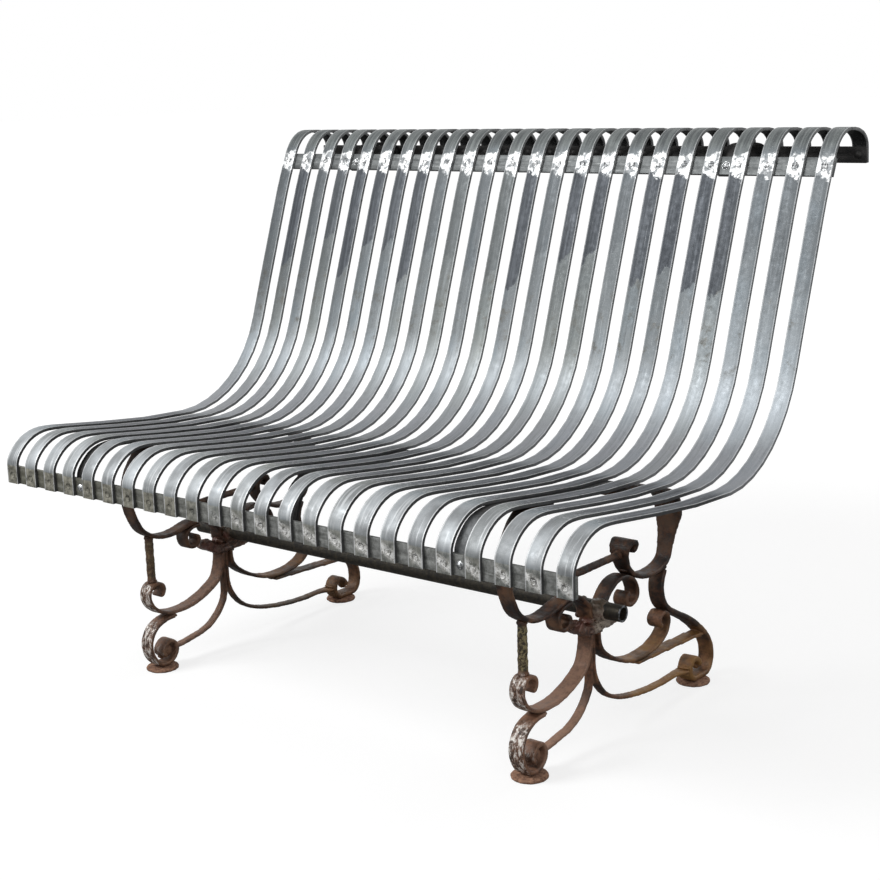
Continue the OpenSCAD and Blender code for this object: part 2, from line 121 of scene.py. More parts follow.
def grit(tree, place, size_mm, detail, rough, stretch=(1, 1, 1)):
    """Noise whose grains are about size_mm wide. A stretch below 1 draws them out along that axis."""
    scale = [s / (size_mm * MM) for s in stretch]
    moved = add(tree, "ShaderNodeMapping", {0: place, 3: scale})
    noise = add(tree, "ShaderNodeTexNoise", {0: moved, "Scale": 1.0, "Detail": detail, "Roughness": rough})
    return noise.outputs[0]


def start_finish(name):
    """Starts a material and gives it with its tree, its shader and the Object coordinates."""
    material = bpy.data.materials.new(name)
    material.use_nodes = True
    tree = material.node_tree
    return material, tree, tree.nodes["Principled BSDF"], add(tree, "ShaderNodeTexCoord").outputs["Object"]


def surface(tree, shader, inputs, height, depth_mm, strength):
    """Gives a shader its inputs and its fine relief."""
    bump = add(tree, "ShaderNodeBump", {"Height": height, "Distance": depth_mm * MM, "Strength": strength})
    feed(tree, shader, {**inputs, "Normal": bump})


# Mild steel flat bar, ground bare along its length and left out of doors: a dull neutral grey with fine
# lengthwise scratches, olive tarnish at the front ends and bright ground patches round the rivets.
def ground_mild_steel():
    material, tree, shader, place = start_finish("ground_mild_steel")
    x, y, z = add(tree, SPLIT, {0: place}).outputs

    # Each slat's own random shade, stain height and tint, and the distance from its middle
    cell = add(tree, MATH, {0: x, 1: SLAT_PITCH}, operation="DIVIDE")
    number = add(tree, MATH, {0: cell}, operation="FLOOR")
    own = add(tree, "ShaderNodeTexWhiteNoise", {1: number}, noise_dimensions="1D").outputs["Color"]
    shade, shift, tint = add(tree, "ShaderNodeSeparateColor", {0: own}).outputs
    along = add(tree, MATH, {0: cell}, operation="FRACT")
    side = add(tree, MATH, {0: along, 1: 0.5}, operation="SUBTRACT")
    side = add(tree, MATH, {0: side, 1: SLAT_PITCH}, operation="MULTIPLY")
    across = add(tree, MATH, {0: side}, operation="ABSOLUTE")

    scratch = grit(tree, place, 0.9, 5, 0.65, (1, 0.02, 0.02))
    band = grit(tree, place, 4.5, 3, 0.6, (1, 0.05, 0.05))
    mottle = grit(tree, place, 9, 5, 0.7)
    cloud = grit(tree, place, 60, 3, 0.55, (1, 1, 0.6))
    speck = grit(tree, place, 2.6, 3, 0.7)
    stroke = grit(tree, place, 3.0, 4, 0.7, (0.45, 1, 1))
    blot = grit(tree, place, 7, 6, 0.72)
    fleck = grit(tree, place, 1.5, 3, 0.8)

    base = layered(
        tree, "#686c6e",
        ("#8d9294", (mottle, 0.3, 0.7)),
        ("#7b868d", (cloud, 0.46, 0.66, 0, 0.6)),
        ("#7b7d72", (tint, 0.55, 0.95, 0, 0.45)),
        ("#5a5f63", (shade, 0.4, 1.0, 0, 0.35)),
        ("#a6abad", (band, 0.54, 0.7, 0, 0.55)),
        ("#4d5154", (band, 0.44, 0.3, 0, 0.5)))

    # The seat's top is painted duller and darker than the bends, a painted dark reflection, with a few light
    # scuffs near the front
    on_seat = zone(tree, (y, past(FRONT_Y, 62), past(FRONT_Y, 120)),
                   (y, past(FRONT_Y, 345), past(FRONT_Y, 425), 1, 0))
    painted_dark_reflection = layered(tree, "#34373c", ("#5c5f65", (band, 0.35, 0.65)))
    from_crest = add(tree, MATH, {0: y, 1: past(FRONT_Y, 95)}, operation="SUBTRACT")
    from_crest = add(tree, MATH, {0: from_crest}, operation="ABSOLUTE")
    base = layered(
        tree, base,
        (painted_dark_reflection, on_seat, 0.9),
        ("#b9bcbd", (from_crest, 20 * MM, 60 * MM, 1, 0), (stroke, 0.56, 0.64), 0.75))

    # Lighter where the slats rise into the back; the bright edge lines, partly wear and partly painted highlight,
    # are weaker from there on
    past_seat = zone(tree, (y, past(FRONT_Y, 360), past(FRONT_Y, 430)))
    base = layered(tree, base, (
        "#96989d", past_seat, (y, past(FRONT_Y, 570), past(FRONT_Y, 490)), (band, 0.3, 0.6, 0.5, 0.75)))

    # Painted highlight on the front bend, which is made lighter and cooler
    pale = layered(tree, "#85888a", ("#a9adb0", (cloud, 0.4, 0.62)), ("#cbced0", (band, 0.52, 0.68, 0, 0.7)))
    base = layered(tree, base, (
        pale, (y, past(FRONT_Y, 35), past(FRONT_Y, 75), 1, 0),
        (z, past(FRONT_RAIL_TOP, -4), past(FRONT_RAIL_TOP, 10)), 0.8))

    # Olive tarnish on the front ends, with a level upper edge, strong on the left half of the bench
    on_front = zone(tree, (y, past(FRONT_Y, 14), past(FRONT_Y, 20), 1, 0))
    tarnish_edge = add(tree, MATH, {0: speck, 1: 2 * MM, 2: z}, operation="MULTIPLY_ADD")
    khaki = layered(tree, "#626054", ("#aba89a", (mottle, 0.32, 0.68)), ("#2f2c24", (speck, 0.4, 0.3, 0, 0.6)))
    base = layered(tree, base, (
        khaki, (tarnish_edge, past(FRONT_RAIL_TOP, 1), past(FRONT_RAIL_TOP, 3.5), 1, 0), on_front,
        (x, -190 * MM, -60 * MM, 0.92, 0.45)))

    # The back is lightest just above the seat and at the right end, and darkens upwards, most at its
    # left end. Its middle has dull brown water stains.
    on_back = zone(tree, (y, past(FRONT_Y, 500), past(FRONT_Y, 580)))
    stain = grit(tree, place, 26, 6, 0.72)
    base = layered(
        tree, base,
        ("#a9afb4", on_back, (z, 570 * MM, 470 * MM), (band, 0.3, 0.6, 0.5, 0.7)),
        ("#4b5053", on_back, (z, 470 * MM, 690 * MM), (x, -300 * MM, -520 * MM, 0.6, 0.85)),
        ("#b7c0c8", on_back, (z, 760 * MM, 500 * MM, 0.15, 1), (x, 300 * MM, 450 * MM, 0, 0.25)),
        ("#55534d", on_back, (z, 700 * MM, 640 * MM), (z, 500 * MM, 560 * MM), (stain, 0.53, 0.68, 0, 0.75)))

    # Darker, bluer upper third of the back on most slats, ragged at its lower edge
    torn = grit(tree, place, 16, 4, 0.7, (1, 0.5, 0.5))
    torn = add(tree, MATH, {0: torn, 1: 60 * MM, 2: z}, operation="MULTIPLY_ADD")
    torn = add(tree, MATH, {0: side, 1: -0.8, 2: torn}, operation="MULTIPLY_ADD")
    lowest = zone(tree, (shift, 0, 1, 670 * MM, 755 * MM))
    above = add(tree, MATH, {0: torn, 1: lowest}, operation="SUBTRACT")
    dark_share = zone(
        tree, (above, 0, 5 * MM), (z, past(TOP_RIVET.z, 6), past(TOP_RIVET.z, 14), 1, 0),
        (shade, 0.25, 0.6, 0.3, 0.9), (x, 420 * MM, 480 * MM, 1, 0.35))
    base = layered(tree, base, (layered(tree, "#33373d", ("#4b4f55", (band, 0.4, 0.65))), dark_share))

    # Ground bright over the top rail, in ragged slanting strokes that leave dimples
    lower_edge = add(tree, MATH, {0: blot, 1: 34 * MM, 2: z}, operation="MULTIPLY_ADD")
    lower_edge = add(tree, MATH, {0: side, 1: 0.45, 2: lower_edge}, operation="MULTIPLY_ADD")
    upper_edge = grit(tree, place, 11, 5, 0.75)
    upper_edge = add(tree, MATH, {0: upper_edge, 1: 26 * MM, 2: z}, operation="MULTIPLY_ADD")
    upper_edge = add(tree, MATH, {0: side, 1: -0.25, 2: upper_edge}, operation="MULTIPLY_ADD")
    white = layered(
        tree, "#85888a",
        ("#f0f1f1", (grit(tree, place, 10, 3, 0.6), 0.42, 0.53)),
        ("#4d5052", (blot, 0.37, 0.31, 0, 0.85)),
        ("#9a9d9e", (speck, 0.52, 0.66, 0, 0.5)))
    base = layered(tree, base, (
        white, (lower_edge, TOP_RIVET.z, past(TOP_RIVET.z, 6)),
        (upper_edge, past(TOP_RIVET.z, 29), past(TOP_RIVET.z, 34), 1, 0), (stroke, 0.28, 0.46, 0.25, 1)))

    # Bright slanting scuffs on the front ends, from the middle of the bench to the right
    slant = add(tree, MATH, {0: z, 1: FRONT_RIVET_Z}, operation="SUBTRACT")
    slant = add(tree, MATH, {0: side, 1: 0.5, 2: slant}, operation="MULTIPLY_ADD")
    reach = add(tree, MATH, {0: slant}, operation="ABSOLUTE")
    reach = add(tree, MATH, {0: blot, 1: 40 * MM, 2: reach}, operation="MULTIPLY_ADD")
    silver = layered(tree, "#9c9b96", ("#f2f2f0", (blot, 0.42, 0.54)), ("#4d4c49", (speck, 0.4, 0.32, 0, 0.8)))
    base = layered(tree, base, (
        silver, (reach, 26 * MM, 31 * MM, 1, 0), on_front, (x, -140 * MM, 20 * MM), 0.9))

    # A dark ring round each rivet's dressed head, stronger at the top
    ring_radius = 6.6 * MM
    for height, ring_share in ((TOP_RIVET.z, 0.55), (FRONT_RIVET_Z, 0.25)):
        over = add(tree, MATH, {0: z, 1: height}, operation="SUBTRACT")
        apart = add(tree, MATH, {0: over, 1: over}, operation="MULTIPLY")
        apart = add(tree, MATH, {0: side, 1: side, 2: apart}, operation="MULTIPLY_ADD")
        apart = add(tree, MATH, {0: apart}, operation="SQRT")
        apart = add(tree, MATH, {0: speck, 1: 3 * MM, 2: apart}, operation="MULTIPLY_ADD")
        off_ring = add(tree, MATH, {0: apart, 1: ring_radius}, operation="SUBTRACT")
        off_ring = add(tree, MATH, {0: off_ring}, operation="ABSOLUTE")
        base = layered(tree, base, ("#3c3e40", (off_ring, 0.3 * MM, 1.5 * MM, 1, 0), ring_share))

    # The rolled top is darker, and its rear is painted near black as shade on the inside of the roll
    base = layered(
        tree, base,
        (layered(tree, "#4c5051", ("#737877", (band, 0.35, 0.65))),
         (z, past(TOP_RIVET.z, 22), past(TOP_RIVET.z, 36)), 0.85),
        ("#1a1a1b", (y, past(TOP_RIVET.y, 40), past(TOP_RIVET.y, 80)), (z, 800 * MM, 820 * MM), 0.97))

    # Scratches along the bar, flecks, bright edge lines that are partly worn and partly a painted highlight where
    # the rounded edges catch light, and dark sides that are partly mill scale the grinder never reached and
    # partly painted shade in the gaps between the slats, strongest on the seat
    fleck_share = add(tree, MATH, {0: dark_share, 1: -0.35, 2: 0.4}, operation="MULTIPLY_ADD")
    edge_share = add(tree, MATH, {0: past_seat, 1: -0.45, 2: 0.85}, operation="MULTIPLY_ADD")
    flank = zone(tree, (across, past(SLAT_EDGE, -0.35), past(SLAT_EDGE, -0.1)))
    base = layered(
        tree, base,
        ("#c9cccd", (scratch, 0.6, 0.76, 0, 0.4)),
        ("#303336", (scratch, 0.4, 0.25, 0, 0.4)),
        ("#bfc2c3", (fleck, 0.56, 0.72), fleck_share),
        ("#3b3e40", (fleck, 0.42, 0.28, 0, 0.4)),
        ("#d6d8d9", (across, past(SLAT_EDGE, -2.4), past(SLAT_EDGE, -1.2)), (mottle, 0.32, 0.55, 0.35, 1),
         edge_share),
        ("#1d1e1f", flank, (y, past(FRONT_Y, 350), past(FRONT_Y, 430), 0.92, 0.4)))

    shine = add(tree, MATH, {0: flank, 1: -0.5, 2: 0.6}, operation="MULTIPLY_ADD")
    rough = zone(tree, (mottle, 0.25, 0.75, 0.46, 0.66))
    height = add(tree, MATH, {0: scratch, 1: stroke}, operation="ADD")
    height = add(tree, MATH, {0: height, 1: 0.5}, operation="MULTIPLY")
    surface(tree, shader, {"Base Color": base, "Metallic": shine, "Roughness": rough}, height, 0.18, 0.7)
    return material


# Flat bar left as rolled and gone dull: grey with olive tarnish and small pits, darker at the top.
def tarnished_flat_bar():
    material, tree, shader, place = start_finish("tarnished_flat_bar")
    x, _, z = add(tree, SPLIT, {0: place}).outputs
    mottle = grit(tree, place, 8, 5, 0.7)
    streak = grit(tree, place, 2, 4, 0.6, (0.06, 1, 1))
    base = layered(
        tree, "#656766",
        ("#9b9d9c", (mottle, 0.3, 0.72)),
        ("#4a4e50", (z, 500 * MM, 600 * MM, 0, 0.65)),
        ("#6d6a55", (z, 500 * MM, 400 * MM), (x, -560 * MM, 80 * MM, 0.6, 0.1)),
        ("#b3b5b5", (streak, 0.56, 0.76, 0, 0.55)))
    surface(tree, shader, {"Base Color": base, "Metallic": 0.7, "Roughness": 0.55}, mottle, 0.25, 0.6)
    return material


# Mill scale on hot-rolled bar: blue-black, hard and a little glossy, ground off the right rib's front.
def mill_scale():
    material, tree, shader, place = start_finish("mill_scale")
    x, y, _ = add(tree, SPLIT, {0: place}).outputs
    mottle = grit(tree, place, 10, 5, 0.65)
    base = layered(
        tree, "#141415",
        ("#2e2c2b", (mottle, 0.35, 0.75)),
        ("#85888a", (y, past(FRONT_Y, 60), past(FRONT_Y, 25)), (x, LEG_INNER_X, past(LEG_INNER_X, 50)),
         (mottle, 0.35, 0.6, 0.35, 0.75)))
    surface(tree, shader, {"Base Color": base, "Metallic": 0.3, "Roughness": 0.6}, mottle, 0.3, 0.6)
    return material


# Forged wrought iron under an even, old brown rust: dark in patches, ochre where it is fresh, with painted shade
# that makes it darkest under the seat and painted light on the front braces, and a few rests of pale primer on
# the fronts of the front feet and volutes.
def rusted_wrought_iron():
    material, tree, shader, place = start_finish("rusted_wrought_iron")
    x, y, z = add(tree, SPLIT, {0: place}).outputs
    cloud = grit(tree, place, 45, 4, 0.6)
    mottle = grit(tree, place, 9, 6, 0.7)
    pits = grit(tree, place, 2.2, 4, 0.7)
    base = layered(
        tree, "#432c1f",
        ("#875f47", (mottle, 0.3, 0.7)),
        ("#8f6c50", (cloud, 0.5, 0.7, 0, 0.7)),
        ("#241a15", (cloud, 0.48, 0.36, 0, 0.85)),
        ("#a97a48", (pits, 0.58, 0.76, 0, 0.5)),
        # Painted light on the front braces: paler and pinker
        ("#a3806b", (y, past(TUBE_Y, -8), past(TUBE_Y, -40)), (z, 178 * MM, 150 * MM),
         (y, past(FRONT_Y, 150), past(FRONT_Y, 185), 0.3, 1), (mottle, 0.32, 0.6, 0.5, 0.95)),
        # Ochre on the rear ones, less on the rear feet's backs and on the left leg
        ("#98713c", (y, past(TUBE_Y, 50), past(TUBE_Y, 110)), (z, 150 * MM, 110 * MM),
         (y, past(TUBE_Y, 300), past(TUBE_Y, 335), 1, 0.4), (x, -LEG_INNER_X, LEG_INNER_X, 0.5, 1),
         (cloud, 0.4, 0.6, 0.2, 0.75)))

    # Painted shade, near black: under the seat, on the upper part of the rear legs, and behind the hub
    behind = zone(tree, (z, 145 * MM, 172 * MM, past(TUBE_Y, 198), past(TUBE_Y, 168)))
    behind = add(tree, MATH, {0: y, 1: behind}, operation="SUBTRACT")
    rear_leg = zone(tree, (behind, 0, 10 * MM), (z, 75 * MM, 120 * MM))
    near_hub = zone(tree, (y, past(TUBE_Y, 6), past(TUBE_Y, 10)), (y, past(TUBE_Y, 92), past(TUBE_Y, 45)),
                    (z, 60 * MM, 90 * MM))
    painted_seat_shade = zone(tree, (z, 165 * MM, 235 * MM))
    for other in (rear_leg, near_hub):
        painted_seat_shade = add(tree, MATH, {0: painted_seat_shade, 1: other}, operation="MAXIMUM")
    least = zone(tree, (y, past(TUBE_Y, 60), past(TUBE_Y, 110), 0.4, 0.68))
    black = layered(tree, "#160d08", ("#452817", (mottle, 0.42, 0.72)))

    # The left leg is browner, and its lower rear brace almost black
    left_leg = zone(tree, (x, LEG_INNER_X, -LEG_INNER_X))

    # Olive and soot on the thin posts over the front volutes
    soot = layered(tree, "#2b261b", ("#a4976f", (grit(tree, place, 5, 5, 0.7), 0.42, 0.62)))

    # Rests of pale primer, streaked along the straps, on faces that look to the front
    facing = add(tree, SPLIT, {0: add(tree, "ShaderNodeNewGeometry").outputs["True Normal"]}).outputs["Y"]
    front = zone(tree, (y, past(FRONT_Y, 130), past(FRONT_Y, 150), 1, 0), (z, 155 * MM, 170 * MM, 1, 0),
                 (facing, -0.2, -0.7))
    streaks = grit(tree, place, 7, 6, 0.78, (1.3, 1, 0.45))
    base = layered(
        tree, base,
        (black, painted_seat_shade, (cloud, 0.46, 0.62, 0.97, least)),
        ("#3a2619", left_leg, (mottle, 0.35, 0.65, 0.5, 0.25)),
        ("#2c2a22", left_leg, (y, past(TUBE_Y, 8), past(TUBE_Y, 20)), (y, past(TUBE_Y, 260), past(TUBE_Y, 200)),
         (z, 112 * MM, 92 * MM), 0.6),
        (soot, (y, past(FRONT_Y, 160), past(FRONT_Y, 152)), (z, 166 * MM, 172 * MM), (z, 240 * MM, 232 * MM),
         (x, -LEG_INNER_X, LEG_INNER_X, 0.3, 0.85)),
        ("#1d1512", front, (streaks, 0.51, 0.42, 0, 0.85)),
        ("#e6e2dc", front, (streaks, 0.49, 0.58, 0, 0.95)))

    rough = zone(tree, (mottle, 0.3, 0.7, 0.4, 0.72))
    height = add(tree, MATH, {0: pits, 1: 0.3}, operation="MULTIPLY")
    height = add(tree, MATH, {0: mottle, 1: 0.7, 2: height}, operation="MULTIPLY_ADD")
    surface(tree, shader, {"Base Color": base, "Metallic": 0.1, "Roughness": rough}, height, 1.0, 0.9)
    return material


# Iron pad that stands in the wet: thick orange-brown rust with a dark rim, a little redder at the left.
def wet_rust():
    material, tree, shader, place = start_finish("wet_rust")
    x, _, z = add(tree, SPLIT, {0: place}).outputs
    mottle = grit(tree, place, 7, 6, 0.7)
    pits = grit(tree, place, 1.8, 4, 0.7)
    base = layered(
        tree, "#5f4335",
        ("#b1886e", (mottle, 0.3, 0.7)),
        ("#b39a82", (pits, 0.57, 0.74, 0, 0.55)),
        ("#3a2a22", (z, 2.2 * MM, 0.4 * MM, 0, 0.8)),
        ("#4a2a1e", (x, LEG_INNER_X, -LEG_INNER_X, 0, 0.2)))
    surface(tree, shader, {"Base Color": base, "Roughness": 0.85}, mottle, 0.9, 0.9)
    return material


# Drawn tube under old dark paint, worn to metal at the cut ends.
def painted_tube():
    material, tree, shader, place = start_finish("painted_tube")
    mottle = grit(tree, place, 9, 5, 0.7)
    x, _, _ = add(tree, SPLIT, {0: place}).outputs
    outwards = add(tree, MATH, {0: x}, operation="ABSOLUTE")
    base = layered(
        tree, "#1b1815",
        ("#463f31", (mottle, 0.35, 0.75)),
        ("#9a9ea5", (outwards, past(TUBE_HIGH.x, -1.2), past(TUBE_HIGH.x, -0.4)), (mottle, 0.42, 0.6, 0, 0.8)))
    surface(tree, shader, {"Base Color": base, "Metallic": 0.35, "Roughness": 0.5}, mottle, 0.3, 0.6)
    return material


# Weld metal run in over the hub, rusted and painted once: lumpy, dark red-brown, with paler worn crests and a
# pale outer side that is partly a painted highlight.
def painted_weld():
    material, tree, shader, place = start_finish("painted_weld")
    x, y, z = add(tree, SPLIT, {0: place}).outputs
    mottle = grit(tree, place, 7, 6, 0.7)
    cloud = grit(tree, place, 22, 4, 0.6)
    crest = grit(tree, place, 6, 4, 0.7, (1, 0.4, 1))
    outwards = add(tree, MATH, {0: x}, operation="ABSOLUTE")
    low = zone(tree, (z, past(TUBE_Z, 8), TUBE_Z))
    base = layered(
        tree, "#2a1f19",
        ("#7a5b4a", (mottle, 0.34, 0.66)),
        # Olive on top, red in front, and pale on the outer side behind, partly a painted highlight
        ("#4b4334", (z, past(TUBE_Z, -6), past(TUBE_Z, 4), 0, 0.7)),
        ("#65382e", low, (y, past(TUBE_Y, -2), past(TUBE_Y, -16)), (cloud, 0.4, 0.62, 0.1, 0.7)),
        ("#a88f86", low, (crest, 0.6, 0.7, 0, 0.7)),
        ("#bfb2a3", low, (y, past(TUBE_Y, -22), past(TUBE_Y, -6)), (y, past(TUBE_Y, 42), past(TUBE_Y, 30)),
         (outwards, past(LEG_X, 2), past(LEG_X, 8)), (mottle, 0.38, 0.56, 0.1, 0.95)))
    surface(tree, shader, {"Base Color": base, "Metallic": 0.1, "Roughness": 0.36}, mottle, 1.0, 0.9)
    return material


# Rivet steel, hammered and dressed with a grinder: bright, with dark dents.
def dressed_rivet_steel():
    material, tree, shader, place = start_finish("dressed_rivet_steel")
    speck = grit(tree, place, 3, 4, 0.7)
    base = layered(tree, "#55585a", ("#d9dbdc", (speck, 0.4, 0.58)))
    surface(tree, shader, {"Base Color": base, "Metallic": 0.9, "Roughness": 0.35}, speck, 0.4, 0.8)
    return material


STEEL = ground_mild_steel()
RAIL = tarnished_flat_bar()
SCALE = mill_scale()
IRON = rusted_wrought_iron()
PAD = wet_rust()
TUBE = painted_tube()
WELD = painted_weld()
RIVET = dressed_rivet_steel()

SAME_CORNER = 0.01 * MM
FLAT_ANGLE = math.radians(0.5)
EDGE_ANGLE = math.radians(35)
HEAD_ANGLE = math.radians(40)


def only(piece):
    """Selects this piece alone and makes it active."""
    bpy.ops.object.select_all(action="DESELECT")
    piece.select_set(True)
    bpy.context.view_layer.objects.active = piece


def modify(piece, name, kind, **settings):
    """Puts a modifier with its settings on a piece."""
    modifier = piece.modifiers.new(name, kind)
    for setting, value in settings.items():
        setattr(modifier, setting, value)


def hammer(piece, name, size_mm, strength_mm, mid_level=0.5):
    """Puts uneven dents or lumps of about size_mm on a piece. At a high mid level they go inwards."""
    marks = bpy.data.textures.new(name, "CLOUDS")
    marks.noise_scale = size_mm * MM
    marks.noise_depth = 2
    modify(piece, name, "DISPLACE", texture=marks, texture_coords="LOCAL", mid_level=mid_level,
           strength=strength_mm * MM)


def done(piece, material, node=None, smooth_angle=None):
    """Applies a piece's modifiers, shades it, hides the CAD node that it stands for, and gives it its material
    and body.
    """
    only(piece)
    for modifier in list(piece.modifiers):
        bpy.ops.object.modifier_apply(modifier=modifier.name)
    if smooth_angle:
        bpy.ops.object.shade_smooth_by_angle(angle=smooth_angle)
    else:
        bpy.ops.object.shade_smooth()
    if node:
        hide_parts(node)
    piece.data.materials.clear()
    piece.data.materials.append(material)
    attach(piece, "root")


def on_whole_mesh(operator, **settings):
    """Runs a mesh operator on the whole of the active piece."""
    bpy.ops.object.mode_set(mode="EDIT")
    bpy.ops.mesh.select_all(action="SELECT")
    operator(**settings)
    bpy.ops.object.mode_set(mode="OBJECT")


def copy_of(node):
    """A copy of a CAD node as one closed mesh, for finishing."""
    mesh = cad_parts[node].data.copy()
    piece = bpy.data.objects.new(node + "_finished", mesh)
    bpy.context.scene.collection.objects.link(piece)
    only(piece)
    on_whole_mesh(bpy.ops.mesh.remove_doubles, threshold=SAME_CORNER)
    return piece


def flat_bar(node, material, edge_mm):
    """Finishes a bar cut from rolled flat: its long edges are a little rounded and its bends smooth."""
    piece = copy_of(node)
    on_whole_mesh(bpy.ops.mesh.dissolve_limited, angle_limit=FLAT_ANGLE)
    modify(piece, "edges", "BEVEL", width=edge_mm * MM, segments=2, limit_method="ANGLE", angle_limit=EDGE_ANGLE)
    modify(piece, "normals", "WEIGHTED_NORMAL", keep_sharp=True)
    done(piece, material, node, EDGE_ANGLE)


def forged(node, material, grain_mm=2.0, dents_mm=1.0, dent_size_mm=14):
    """Finishes a forged strap: rounded edges and the shallow dents of a hammer."""
    piece = copy_of(node)
    modify(piece, "skin", "REMESH", mode="VOXEL", voxel_size=grain_mm * MM)
    modify(piece, "round_off", "SMOOTH", factor=0.5, iterations=4)
    hammer(piece, "hammer_marks", dent_size_mm, dents_mm)
    done(piece, material, node)
    return piece


def dressed(node, material):
    """Finishes rivets: heads that a hammer left uneven, dented inwards only, with softened rims."""
    piece = copy_of(node)
    modify(piece, "rims", "BEVEL", width=0.3 * MM, segments=2, limit_method="ANGLE", angle_limit=EDGE_ANGLE)
    hammer(piece, "hammer_blows", 5, 0.8, mid_level=0.95)
    done(piece, material, node, HEAD_ANGLE)


def run_in(name, material, leg_x, drops, grain_mm, lumps_mm, lump_size_mm):
    """Melts drops of weld metal into one uneven skin."""
    bpy.ops.object.select_all(action="DESELECT")
    melted = []
    for x, y, z, half_x, half_y, half_z in drops:
        bpy.ops.mesh.primitive_uv_sphere_add(segments=20, ring_count=12, radius=MM, location=(0, 0, 0))
        bpy.ops.object.mode_set(mode="EDIT")
        bpy.ops.mesh.select_all(action="SELECT")
        bpy.ops.transform.resize(value=(half_x, half_y, half_z), center_override=(0, 0, 0))
        bpy.ops.transform.translate(value=(past(leg_x, x), past(TUBE_Y, y - TUBE_FROM_FRONT), z * MM))
        bpy.ops.object.mode_set(mode="OBJECT")
        melted.append(bpy.context.object)
    for drop in melted:
        drop.select_set(True)
    bpy.context.view_layer.objects.active = melted[0]
    bpy.ops.object.join()
    piece = bpy.context.object
    piece.name = name
    modify(piece, "skin", "REMESH", mode="VOXEL", voxel_size=grain_mm * MM)
    modify(piece, "round_off", "SMOOTH", iterations=3)
    hammer(piece, "weld_lumps", lump_size_mm, lumps_mm)
    done(piece, material)


for i in range(1, SLAT_COUNT + 1):
    flat_bar("slat_%02d" % i, STEEL, 0.9)
for node in ("front_rail", "top_front_rail"):
    flat_bar(node, RAIL, 0.6)
for node in ("top_rear_rail", "left_rib", "middle_rib", "right_rib", "arch_straps"):
    flat_bar(node, SCALE, 0.6)

BRACES_AND_FEET = ("front_upper_brace", "front_lower_brace", "front_foot", "rear_upper_brace", "rear_lower_brace",
                   "rear_leg")
for side in ("left", "right"):
    forged(side + "_front_hook", IRON)
    forged(side + "_saddle", WELD, 2.0, 4.4, 11)
    for name in BRACES_AND_FEET:
        forged(side + "_" + name, IRON)
    forged(side + "_rear_hook", IRON)
forged("posts", IRON, 1.5, 2.6, 7)
forged("tie_rods", IRON, 1.5, 1.4, 9)
forged("small_scrolls", IRON)
forged("rear_ties", IRON)
pads = forged("foot_pads", PAD, 1.5, 1.6, 8)
# The pads' rough undersides don't go below the floor
for corner in pads.data.vertices:
    corner.co.z = max(corner.co.z, 0.0)
dressed("front_rivets", STEEL)
dressed("top_rivets", STEEL)
dressed("rear_rivets", SCALE)
dressed("rib_rivets", RIVET)

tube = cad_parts["stretcher_tube"]
tube.data.materials.clear()
tube.data.materials.append(TUBE)

# Weld metal over each hub, as drops: x from the leg, y from the slats' front ends, z, and the half sizes,
# in millimetres
HUB_DROPS = [
    # Over the saddle's front end, and between the saddle and the strap
    (0, 266, 200, 14, 9, 8), (-3, 279, 193, 15, 10, 9), (2, 296, 199, 14, 8, 6), (0, 331, 199, 15, 9, 6),
    # Over the saddle's rear end and its underside
    (3, 345, 191, 17, 12, 10), (0, 357, 196, 15, 11, 9), (0, 312, 183, 18, 18, 8), (10, 300, 184, 9, 20, 7),
    # Round the tube where it leaves the strap
    (12, 322, 197, 12, 17, 11), (16, 312, 214.5, 23, 16.6, 16.6), (-15, 312, 214.5, 9, 15.5, 15.5),
    (17, 318, 203, 8, 9, 8), (-17, 306, 203, 5, 9, 7)]
# Beads where the straps of a leg are welded to each other
BEADS = [
    (-6, 506, 231, 8.5, 4.5, 5.5), (6, 506, 231, 8.5, 4.5, 5.5), (0, 506, 231, 9, 5, 6),
    (0, 178.5, 90.5, 12, 4, 3.5), (0, 159, 92.5, 11, 4, 2.5),
    (0, 177, 37, 8, 4, 3), (0, 177.5, 26.5, 8, 4, 3), (0, 582, 34.5, 12, 4, 3), (0, 582, 23.5, 12, 4, 3),
    (0, 424, 94, 9, 5, 2.5), (0, 623, 88.5, 11, 4, 3.5), (0, 622, 80, 11, 4, 3.5), (0, 404, 250.5, 11, 6, 3.5),
    (0, 418, 236.5, 11, 6, 3.5), (0, 238, 254, 9, 9, 3), (0, 386, 278, 8, 4, 8), (0, 137, 240.5, 9, 9, 3.5),
    (0, 138, 163.5, 9, 9, 3), (0, 233, 244.5, 12, 4, 3), (0, 292.5, 176, 13, 4, 4), (0, 324, 176, 13, 4, 4),
    # Rust scale that closes the eyes of the feet
    (-2, 621, 28.5, 10, 7, 7), (-5, 151, 22, 8, 7, 6), (0, 159, 31, 9, 11, 12)]
for side, leg_x in (("left", -LEG_X), ("right", LEG_X)):
    run_in(side + "_hub_weld", WELD, leg_x, HUB_DROPS, 1.6, 4.8, 7)
    run_in(side + "_joint_beads", IRON, leg_x, BEADS, 1.1, 1.6, 5)

# Stage: a pale floor that keeps the shadow but is lifted towards white for the camera alone
bpy.ops.object.select_all(action="DESELECT")
bpy.ops.mesh.primitive_plane_add(size=80, location=(0, 0, 0))
floor = bpy.context.object
floor.name = "studio_floor"
floor_finish = bpy.data.materials.new("pale_studio_floor")
floor_finish.use_nodes = True
tree = floor_finish.node_tree
tree.nodes.clear()
matte = add(tree, "ShaderNodeBsdfDiffuse", {0: (0.3, 0.3, 0.3, 1)})
spot = add(tree, "ShaderNodeTexCoord").outputs["Object"]
distance = add(tree, "ShaderNodeVectorMath", {0: spot}, operation="LENGTH").outputs["Value"]
white = add(tree, "ShaderNodeEmission", {0: (1, 1, 1, 1), 1: zone(tree, (distance, 1.0, 3.5, 0.76, 0.95))})
black = add(tree, "ShaderNodeEmission", {0: (0, 0, 0, 1), 1: 0.0})
seen = add(tree, "ShaderNodeLightPath").outputs["Is Camera Ray"]
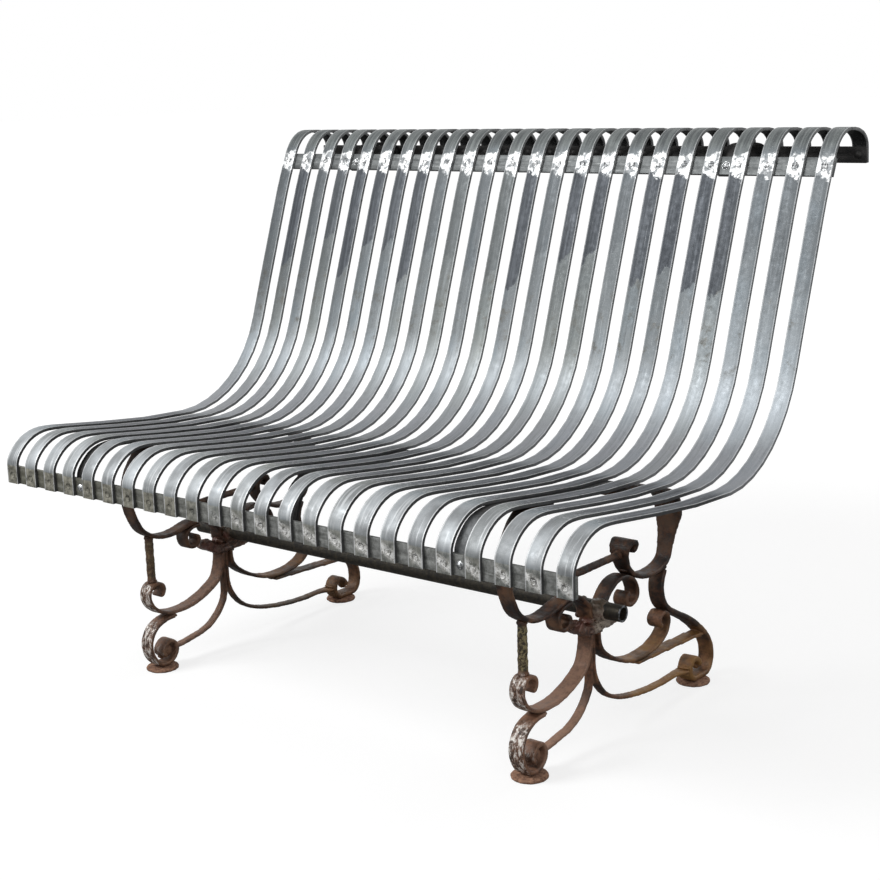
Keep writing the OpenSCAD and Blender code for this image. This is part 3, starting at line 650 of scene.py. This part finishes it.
camera_only = add(tree, "ShaderNodeMixShader", {0: seen, 1: black, 2: white})
both = add(tree, "ShaderNodeAddShader", {0: matte, 1: camera_only})
add(tree, "ShaderNodeOutputMaterial", {0: both})
floor.data.materials.append(floor_finish)

# A surround that shows white to the camera and in reflections, and lights the bench more weakly
world = bpy.data.worlds.new("white_surround")
bpy.context.scene.world = world
world.use_nodes = True
tree = world.node_tree
tree.nodes.clear()
path = add(tree, "ShaderNodeLightPath").outputs
shown = path["Is Camera Ray"]
for ray in ("Is Glossy Ray", "Is Transmission Ray"):
    shown = add(tree, MATH, {0: shown, 1: path[ray]}, operation="MAXIMUM")
sky = add(tree, "ShaderNodeBackground", {0: (1, 1, 1, 1), 1: zone(tree, (shown, 0, 1, 0.3, 1.0))})
add(tree, "ShaderNodeOutputWorld", {0: sky})

# Softboxes: name, place, height that each is aimed at over the middle of the bench, size and watts
SOFTBOXES = [
    ("key_softbox", (-2.0, -3.2, 3.6), 0.4, 1.8, 165),
    ("fill_softbox", (3.6, -2.2, 2.2), 0.4, 2.2, 34),
    ("back_softbox", (0.6, 3.6, 3.2), 0.5, 2.4, 45)]
for name, place, aim_z, size, watts in SOFTBOXES:
    lamp = bpy.data.lights.new(name, "AREA")
    lamp.shape = "SQUARE"
    lamp.size = size
    lamp.energy = watts
    holder = bpy.data.objects.new(name, lamp)
    bpy.context.scene.collection.objects.link(holder)
    holder.location = place
    holder.rotation_euler = (Vector((0, 0, aim_z)) - Vector(place)).to_track_quat("-Z", "Y").to_euler()

# Camera at the photograph's viewing angle, a little rolled as the photograph is
AZIMUTH, ELEVATION, ROLL = 0.688261, 0.220311, -0.032262
FOCAL_PX, SHIFT_PX, IMAGE_PX, SENSOR = 1640.25, 1.48, 880, 36.0
CAMERA_PLACE = (1.7313, -2.06893, 1.0083)
back = Vector((math.sin(AZIMUTH) * math.cos(ELEVATION), -math.cos(AZIMUTH) * math.cos(ELEVATION),
               math.sin(ELEVATION)))
level_right = (-back).cross(Vector((0, 0, 1))).normalized()
level_up = level_right.cross(-back)
right = math.cos(ROLL) * level_right + math.sin(ROLL) * level_up
up = -math.sin(ROLL) * level_right + math.cos(ROLL) * level_up
camera_data = bpy.data.cameras.new("photo_camera")
camera_data.sensor_width = SENSOR
camera_data.lens = FOCAL_PX * SENSOR / IMAGE_PX
camera_data.shift_y = SHIFT_PX / IMAGE_PX
camera = bpy.data.objects.new("photo_camera", camera_data)
bpy.context.scene.collection.objects.link(camera)
turn = Matrix((right, up, back)).transposed().to_4x4()
camera.matrix_world = Matrix.Translation(CAMERA_PLACE) @ turn
bpy.context.scene.camera = camera
bpy.context.scene.view_settings.view_transform = "Standard"
